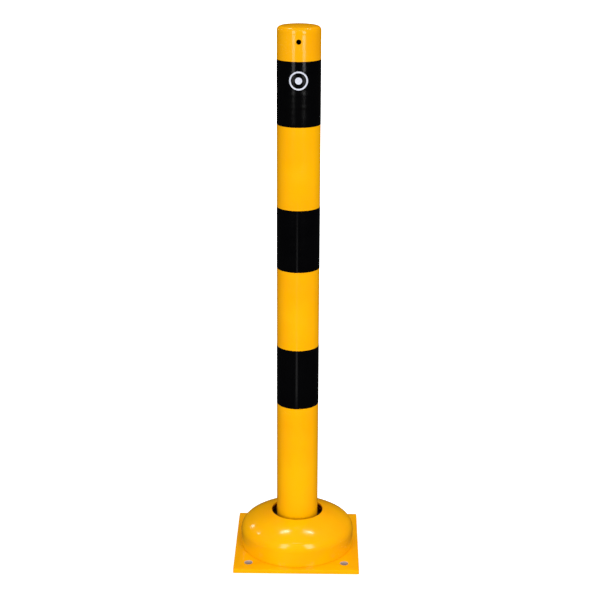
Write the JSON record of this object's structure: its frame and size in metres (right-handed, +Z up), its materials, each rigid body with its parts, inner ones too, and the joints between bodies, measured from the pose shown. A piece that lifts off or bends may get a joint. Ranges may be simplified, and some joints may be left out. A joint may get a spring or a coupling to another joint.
{
  "type": "safety bollard",
  "caption": "Self-righting steel safety bollard: a banded round post that leans on a hidden layered rubber spring, through a domed cover on a square bolt-down plate.",
  "frame": {"origin": "centre of the base plate's underside", "axes": "+Z up along the post, -Y towards the front, where the label and the small head hole face, +X to the right of someone facing the front"},
  "size_m": [0.23, 0.23, 0.978],
  "materials": {
    "yellow_paint": "glossy traffic-yellow powder coat",
    "black_film": "glossy black film",
    "white_print": "white die-cut film",
    "plate_steel": "hot-dip galvanised",
    "zinc_fasteners": "zinc plated",
    "spring_rubber": "matt moulded rubber"
  },
  "bodies": {
    "base": {"base_plate": "yellow_paint", "cover": "yellow_paint", "cover_ring": "plate_steel", "cover_screws": "zinc_fasteners", "spring_screws": "zinc_fasteners", "lower_spring_plate": "plate_steel", "lower_rubber": "spring_rubber"},
    "spring_core": {"middle_spring_plate": "plate_steel"},
    "post": {"upper_rubber": "spring_rubber", "upper_spring_plate": "plate_steel", "foot_flange": "plate_steel", "foot_weld": "plate_steel", "flange_washers": "zinc_fasteners", "flange_screws": "zinc_fasteners", "post_tube": "yellow_paint", "post_cap": "yellow_paint", "band_top": "black_film", "band_middle": "black_film", "band_bottom": "black_film", "label": "white_print"}
  },
  "joints": [
    {"name": "lean_front_back", "type": "hinge", "parent": "base", "child": "spring_core", "pos_m": [0, 0, 0.0275], "axis": [1, 0, 0], "range_deg": [-7, 7], "stiffness_Nm_per_rad": 1500, "deforming": ["lower_rubber"]},
    {"name": "lean_left_right", "type": "hinge", "parent": "spring_core", "child": "post", "pos_m": [0, 0, 0.0275], "axis": [0, 1, 0], "range_deg": [-7, 7], "stiffness_Nm_per_rad": 1500, "deforming": ["upper_rubber"]}
  ]
}
